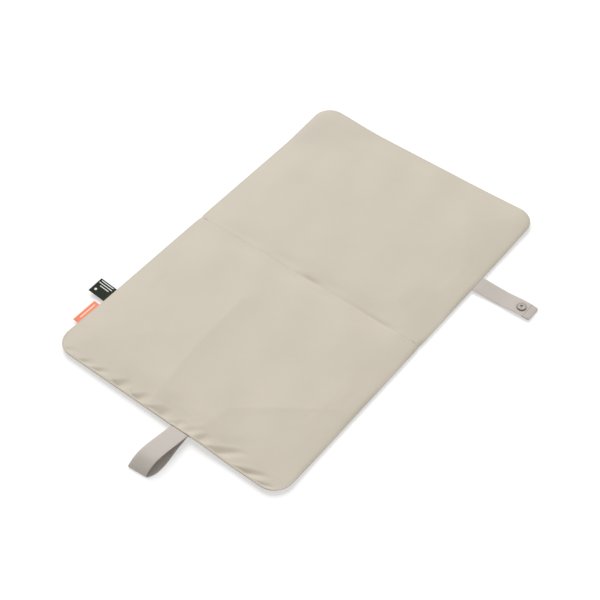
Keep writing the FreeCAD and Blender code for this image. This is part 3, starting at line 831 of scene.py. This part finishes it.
def add_wadding():
    """The wadding inside the covers: one closed slab that thins to its edge."""
    u, v = pad_grid(WADDING_CELL, WADDING_INSET)
    d = inset(u, v) - WADDING_INSET
    top, base = surface_point(u, v, top_height), surface_point(u, v, base_height)
    x, y = top[..., 0], top[..., 1]
    top[..., 2] += puckers(x, y) - WADDING_GAP - PUCKER_GAP * hump(y + HALF_LENGTH, PUCKER_GAP_SPREAD)
    base[..., 2] += WADDING_GAP + WADDING_DIMPLE * stud_dimple(x, y)
    half = np.maximum(top[..., 2] - base[..., 2], 0) / 2
    level = (top[..., 2] + base[..., 2]) / 2
    top[..., 2], base[..., 2] = level + half, level - half
    middle = (top + base) / 2
    round_edge = np.sqrt(1 - (1 - np.clip(d / WADDING_ROUNDING, 0, 1)) ** 2)[..., None]
    rows, columns = u.shape
    sheets = [
        ((middle + (side - middle) * round_edge).reshape(-1, 3), grid_faces(rows, columns, flipped),
         middle[..., :2].reshape(-1, 2))
        for side, flipped in ((top, False), (base, True))
    ]
    wadding = mesh_object("wadding", combine(sheets), FILL, sharp=80)
    weld = bmesh.new()
    weld.from_mesh(wadding.data)
    bmesh.ops.remove_doubles(weld, verts=weld.verts, dist=0.01 * MM)
    weld.to_mesh(wadding.data)
    weld.free()
    over_fold(wadding)
    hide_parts("wadding_strap_half", "wadding_loop_half")


def seam_line(d, height):
    """Points along the outline at one distance in from the seam, once round."""
    a, b, step = HALF_WIDTH - d, HALF_LENGTH - d, 0.5
    side, end = np.arange(-a, a, step), np.arange(-b, b, step)
    u = np.concatenate([side, np.full(len(end), a), side[::-1], np.full(len(end), -a), [-a]])
    v = np.concatenate([np.full(len(side), -b), end, np.full(len(side), b), end[::-1], [-b]])
    return surface_point(u, v, height)


STITCH_PITCH = 3.0
STITCH_LENGTH = 2.35
STITCH_RADIUS = 0.2
TACK_LENGTH = 7
TACK_MARGIN = 0.3
TACK_PITCH = 0.55
TACK_REACH = 0.9


def add_pad_stitching():
    """The row round the edge and the row along the fold, seen on both faces, and the fold's end tacks."""
    edge, fold, tacks = [], [], []
    tack_low, tack_high = span("fold_bar_tacks")
    reach = span("fold_stitching")[1][0]
    along = np.linspace(-reach, reach, 600)
    for height, facing in ((top_height, 1), (base_height, -1)):
        up = np.array([0, 0, facing])
        ring = seam_line(GROOVE, height)
        line = surface_point(along, np.zeros(len(along)), height)
        for rows, path in ((edge, ring), (fold, line)):
            facings = np.broadcast_to(up, path.shape)
            rows.append(stitch_row(path, facings, STITCH_PITCH, STITCH_LENGTH, STITCH_RADIUS))
        for side in (-1, 1):
            x = side * np.arange(-tack_low[0] - TACK_LENGTH, tack_high[0] - TACK_MARGIN, TACK_PITCH)
            one = surface_point(x, np.full(len(x), -TACK_REACH), height)
            other = surface_point(x, np.full(len(x), TACK_REACH), height)
            tacks.append(stitches(one, other, np.broadcast_to(up, one.shape), STITCH_RADIUS))
    edge_row = mesh_object("edge_stitch_row", combine(edge), THREAD)
    over_fold(edge_row)
    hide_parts("edge_stitching_strap_half", "edge_stitching_loop_half")
    fold_row = mesh_object("fold_stitch_row", combine(fold), THREAD)
    over_fold(fold_row)
    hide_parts("fold_stitching")
    tack_rows = mesh_object("fold_tack_rows", combine(tacks), THREAD)
    over_fold(tack_rows)
    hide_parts("fold_bar_tacks")
    for piece in (edge_row, fold_row, tack_rows):
        close_normals(piece)


def add_pad():
    """The covers, the wadding and the rows of stitches that hold them."""
    top = add_cover("top_cover", top_height, COVER, TOP_CELL, False)
    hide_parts("top_cover_strap_half", "top_cover_loop_half")
    base = add_cover("bottom_cover", base_height, BASE_COVER, BASE_CELL, True, dense_at=(STUD[0], STUD[1]))
    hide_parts("bottom_cover_strap_half", "bottom_cover_loop_half")
    add_wadding()
    add_pad_stitching()


# ---------------------------------------------------------------- the closure strap

WEBBING_THICKNESS = 1.2
STRAP_WIDTH = 33
STRAP_SKEW = 0.061
STRAP_TURN = 0.022
STRAP_SPLIT = 234
STRAP_TIP_RADIUS = 4
STRAP_TAPER = 1.1
STRAP_TWIST = 0.7
STRAP_TWIST_FROM = 314
STRAP_TWIST_RUN = 14
HEM_RADIUS = 0.24
HEM_PROUD = 0.05
HEM_PITCH = 2.5
HEM_STITCH_LENGTH = 2.1
HEM_MARGIN = 0.035
# The strap's middle line from inside the seam to the folded hem: (x, z).
STRAP_LINE = (
    (209, 4.5), (217, 4.5), (225, 4.5), (234, 4.2), (246, 3.4), (262, 2.6), (277, 2.5), (290, 3.6),
    (299, 4.4), (307, 4.5), (315, 4.5), (321, 4.3), (326, 3.7), (328.7, 3.2), (329.4, 2.6), (328.7, 2.0),
    (326, 2.35), (321, 3.0), (316, 3.2),
)


def strap_edges(line):
    """The strap's two edges along its middle line: skewed, tapered, and twisted and rounded at the tip."""
    x, z = line[:, 0], line[:, 1]
    low = span("closure_strap_base")[0]
    at_snap = low[1] + STRAP_WIDTH / 2 + STRAP_SKEW * (SOCKET[0] - low[0])
    y = at_snap + STRAP_TURN * (x - SOCKET[0])
    tip = span("closure_strap_end")[1][0]
    past = np.clip((x - tip + STRAP_TIP_RADIUS) / STRAP_TIP_RADIUS, 0, 1)
    run = soft_step((x - STRAP_SPLIT) / (tip - STRAP_SPLIT))
    half = STRAP_WIDTH / 2 - STRAP_TAPER * run - STRAP_TIP_RADIUS * (1 - np.sqrt(1 - past ** 2))
    twist = STRAP_TWIST * soft_step((x - STRAP_TWIST_FROM) / STRAP_TWIST_RUN)
    return np.stack([x, y + half, z - twist], axis=1), np.stack([x, y - half, z + twist], axis=1)


def strap_line():
    """The strap's smooth middle line, and the place in it where the tip folds under."""
    line = smooth_line(STRAP_LINE, LINE_STEPS)
    return line, int(np.argmax(line[:, 0]))


def add_strap():
    """The closure strap, in two bands that meet between its two bends, and the hem's row of stitches."""
    line, turn = strap_line()
    split = int(np.argmin(np.abs(line[:turn, 0] - STRAP_SPLIT)))
    line[split, 0] = STRAP_SPLIT
    lefts, rights = strap_edges(line)
    root_data = ribbon(lefts[:split + 1], rights[:split + 1], WEBBING_THICKNESS)
    root = mesh_object("closure_strap_root", root_data, WEBBING)
    start = np.linalg.norm(np.diff((lefts + rights)[:split + 1] / 2, axis=0), axis=1).sum()
    end_data = ribbon(lefts[split:], rights[split:], WEBBING_THICKNESS, start=start)
    end = mesh_object("closure_strap", end_data, WEBBING)
    close_normals(root)
    close_normals(end)
    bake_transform(root)
    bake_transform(end)
    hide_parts("closure_strap_seam_end", "closure_strap_base")
    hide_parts("closure_strap_end")
    add_hem_stitches()


def add_hem_stitches():
    """Two-sided row of stitches across the strap's hem, on the strap's own two faces."""
    low, high = span("strap_end_stitching")
    x = (low[0] + high[0]) / 2
    line, turn = strap_line()
    rows = []
    for ply, facing in ((line[:turn], 1), (line[:turn:-1], -1)):
        left, right = (
            np.array([np.interp(x, ply[:, 0], edge[:, k]) for k in range(3)]) for edge in strap_edges(ply)
        )
        share = np.linspace(HEM_MARGIN, 1 - HEM_MARGIN, 60)[:, None]
        path = left + (right - left) * share + [0, 0, facing * (WEBBING_THICKNESS / 2 + HEM_PROUD)]
        up = np.broadcast_to([0, 0, facing], path.shape)
        rows.append(stitch_row(path, up, HEM_PITCH, HEM_STITCH_LENGTH, HEM_RADIUS))
    row = mesh_object("strap_hem_stitches", combine(rows), HEM_THREAD, "strap_end")
    close_normals(row)
    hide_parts("strap_end_stitching")


# ---------------------------------------------------------------- the carry loop

# The loop's line, from inside the seam over the crest to the folded toe and back along the floor: how far out
# it is from the pad's edge, how far its lower ply strays aside, and the heights of its left and right edges.
LOOP_LINE = (
    (-17, 0, 5.2, 5.2), (-6, 0, 6, 6.2), (1, 0, 8, 10), (9, 0, 9.5, 11.5), (27, 0, 12.5, 14),
    (42, 0, 15, 16), (57, 0, 16, 17), (67, 0, 15, 16), (76, 0, 11.5, 12.5), (83, 0, 7, 8), (87.5, 0, 3, 3),
    (87.5, 1, 1, 1), (84, 3.5, 0.7, 0.7), (76, 6, 0.65, 0.65), (66, 6.5, 0.65, 0.65), (54, 5.5, 0.65, 0.65),
    (35, 2, 0.7, 0.9), (21, 0, 2, 2.5), (10, 0, 4, 5.5), (0, 0, 6.5, 9), (-6, 0, 4.7, 4.9),
    (-17, 0, 3.9, 3.9),
)
LOOP_LEAN = 4.5
LOOP_LEAN_POWER = 1.3
LOOP_SLANT = 0.018


def loop_edges():
    """The carry loop's two edges. It leans to the labels' side as it leaves the pad, and its toe is askew."""
    reach, aside, left, right = smooth_line(LOOP_LINE, LINE_STEPS).T
    lean = LOOP_LEAN * (np.maximum(reach, 0) / reach.max()) ** LOOP_LEAN_POWER
    middle = LOOP_MIDDLE + aside - lean
    edges = []
    for side, height in ((-1, left), (1, right)):
        y = -HALF_LENGTH - reach * (1 - side * LOOP_SLANT)
        edges.append(np.stack([middle + side * STRAP_WIDTH / 2, y, height], axis=1))
    return edges


def add_carry_loop():
    """The carry loop: one length of webbing folded back on itself, with both ends in the seam."""
    lefts, rights = loop_edges()
    loop = mesh_object("carry_loop_webbing", ribbon(lefts, rights, WEBBING_THICKNESS), WEBBING)
    close_normals(loop)
    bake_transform(loop)
    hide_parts("carry_loop", "carry_loop_seam_ends")


# ---------------------------------------------------------------- the labels

LABEL_THICKNESS = 0.4
TAG_THICKNESS = 0.42
INK_THICKNESS = 0.06
INK_PROUD = 0.02
# The care label's printed lines: the share of the way across, and where each starts and stops.
PRINT_LINES = (0.9, -230, -255), (0.75, -229, -256), (0.6, -232, -250)
PRINT_HALF_WIDTH = 0.023
DOT_PLACE = -251
DOT_SHARE = 0.3
DOT_RADIUS = 2.25
DOT_HALF_LENGTH = 2.2
# The side tag's stripe: its two long edges, and how far it stops short of the tag's two ends.
STRIPE_EDGES = -229.6, -231.6
STRIPE_MARGINS = 10, 5
# The care label's lines from the seam outward: (x, height of its near edge, height of its far edge).
CARE_LINE = (
    (-210, 4.9, 4.9), (-219, 4.8, 4.8), (-226, 4.9, 4.9), (-234, 5.5, 5.7), (-243, 6.4, 6.7),
    (-250, 7.1, 7.6), (-255, 7.6, 8.3), (-258.4, 7.9, 8.8),
)
# The side tag's folded line: out over the top, round its outer fold, and back below: (x, z).
TAG_LINE = (
    (-210, 4.85), (-219, 4.85), (-226, 4.8), (-231, 5.0), (-235.4, 5.4), (-236.6, 5.1), (-235.4, 4.6),
    (-231, 4.2), (-226, 4.1), (-219, 4.25), (-210, 4.25),
)


def care_surface(x, share):
    """The care label's height at a place along it and a share of the way across it."""
    line = smooth_line(CARE_LINE, LINE_STEPS)[::-1]
    near = np.interp(x, line[:, 0], line[:, 1])
    far = np.interp(x, line[:, 0], line[:, 2])
    return near + (far - near) * share


def label_bend(piece):
    """Bakes a label's transform into its mesh."""
    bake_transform(piece)


def add_care_label():
    """The satin care label and its generic print: plain lines and a dot."""
    low, high = span("care_label")
    line = smooth_line(CARE_LINE, LINE_STEPS)
    near = np.stack([line[:, 0], np.full(len(line), low[1]), line[:, 1]], axis=1)
    far = np.stack([line[:, 0], np.full(len(line), high[1]), line[:, 2]], axis=1)
    label = mesh_object("care_label_satin", ribbon(near, far, LABEL_THICKNESS), LABEL)
    close_normals(label)
    label_bend(label)
    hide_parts("care_label", "label_seam_ends")
    add_care_print(low[1], high[1] - low[1])


def add_care_print(first, depth):
    """The plain lines and the dot on the care label, which starts at first and is depth across."""
    marks = []
    above = LABEL_THICKNESS / 2 + INK_PROUD
    for share, start, stop in PRINT_LINES:
        x = np.linspace(start, stop, 24)
        edges = [
            np.stack([x, np.full(len(x), first + depth * s), care_surface(x, s) + above], axis=1)
            for s in (share - PRINT_HALF_WIDTH, share + PRINT_HALF_WIDTH)
        ]
        marks.append(ribbon(edges[0], edges[1], INK_THICKNESS, across=4))
    x = np.linspace(DOT_PLACE + DOT_HALF_LENGTH, DOT_PLACE - DOT_HALF_LENGTH, 11)
    half = np.sqrt(np.maximum(1 - ((x - DOT_PLACE) / DOT_RADIUS) ** 2, 0)) * DOT_RADIUS / depth
    edges = [
        np.stack([x, first + depth * (DOT_SHARE + side * half), care_surface(x, DOT_SHARE) + above], axis=1)
        for side in (-1, 1)
    ]
    marks.append(ribbon(edges[0], edges[1], INK_THICKNESS, across=8))
    marks = mesh_object("care_label_print", combine(marks), INK)
    close_normals(marks)
    label_bend(marks)


def add_side_tag():
    """The folded side tag with one plain stripe."""
    low, high = span("side_tag")
    line = smooth_line(TAG_LINE, LINE_STEPS)
    near = np.stack([line[:, 0], np.full(len(line), low[1]), line[:, 1]], axis=1)
    far = np.stack([line[:, 0], np.full(len(line), high[1]), line[:, 1]], axis=1)
    tag = mesh_object("side_tag_tape", ribbon(near, far, TAG_THICKNESS), TAG)
    close_normals(tag)
    label_bend(tag)
    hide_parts("side_tag")
    top = smooth_line(TAG_LINE[:5], LINE_STEPS)
    heights = np.interp(STRIPE_EDGES, top[::-1, 0], top[::-1, 1]) + TAG_THICKNESS / 2 + INK_PROUD
    y = np.linspace(low[1] + STRIPE_MARGINS[0], high[1] - STRIPE_MARGINS[1], 30)
    edges = [
        np.stack([np.full(len(y), x), y, np.full(len(y), z)], axis=1)
        for x, z in zip(STRIPE_EDGES, heights)
    ]
    stripe_data = ribbon(edges[0], edges[1], INK_THICKNESS, across=6)
    stripe = mesh_object("side_tag_stripe", stripe_data, TAG_INK)
    close_normals(stripe)
    label_bend(stripe)


# ---------------------------------------------------------------- the snap, from CAD

def paint_node(node, material):
    """Gives a CAD piece that stays a better material."""
    piece = next(o for o in bpy.context.scene.objects if o.get("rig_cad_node") and o.name == node)
    for slot in piece.material_slots:
        slot.material = material


def paint_snap():
    """The snap's pressed parts and its reinforcing patch keep their CAD shapes."""
    for node in ("snap_socket", "snap_cap", "snap_stud"):
        paint_node(node, SNAP_PAINT)
    for node in ("snap_spring", "stud_rivet"):
        paint_node(node, STEEL)
    paint_node("stud_backing_patch", WEBBING)


# ---------------------------------------------------------------- camera, light and floor

def add_camera():
    """The three-quarter view from above the strap's side."""
    data = bpy.data.cameras.new("view")
    data.lens = 77.06
    data.sensor_width = 36
    camera = bpy.data.objects.new("view", data)
    camera.location = (0.8403, -1.08, 1.5803)
    camera.rotation_euler = (math.radians(40.04), 0, math.radians(38.26))
    bpy.context.scene.collection.objects.link(camera)
    bpy.context.scene.camera = camera


def add_light(name, towards, spread, strength):
    """A wide soft light that comes from one direction, as an even bank of lamps does."""
    data = bpy.data.lights.new(name, "SUN")
    data.angle = math.radians(spread)
    data.energy = strength
    lamp = bpy.data.objects.new(name, data)
    lamp.location = towards
    lamp.rotation_euler = (-Vector(towards)).to_track_quat("-Z", "Y").to_euler()
    bpy.context.scene.collection.objects.link(lamp)


def add_studio():
    """Plain soft light: a white surround and one wide bank of lamps at the back left."""
    world = bpy.data.worlds.new("studio")
    world.use_nodes = True
    sky = world.node_tree.nodes["Background"]
    sky.inputs[0].default_value = (1, 1, 1, 1)
    sky.inputs[1].default_value = 0.56
    bpy.context.scene.world = world
    add_light("key_lamp", (-1.2, 1.1, 1.6), 46, 2.48)
    bpy.context.scene.view_settings.view_transform = "Standard"
    mesh = bpy.data.meshes.new("studio_floor")
    reach = 4.0
    corners = [(-reach, -reach, 0), (reach, -reach, 0), (reach, reach, 0), (-reach, reach, 0)]
    mesh.from_pydata(corners, [], [(0, 1, 2, 3)])
    mesh.materials.append(floor_paint())
    floor = bpy.data.objects.new("studio_floor", mesh)
    bpy.context.scene.collection.objects.link(floor)


add_camera()
add_pad()
add_strap()
add_carry_loop()
add_care_label()
add_side_tag()
paint_snap()
add_studio()
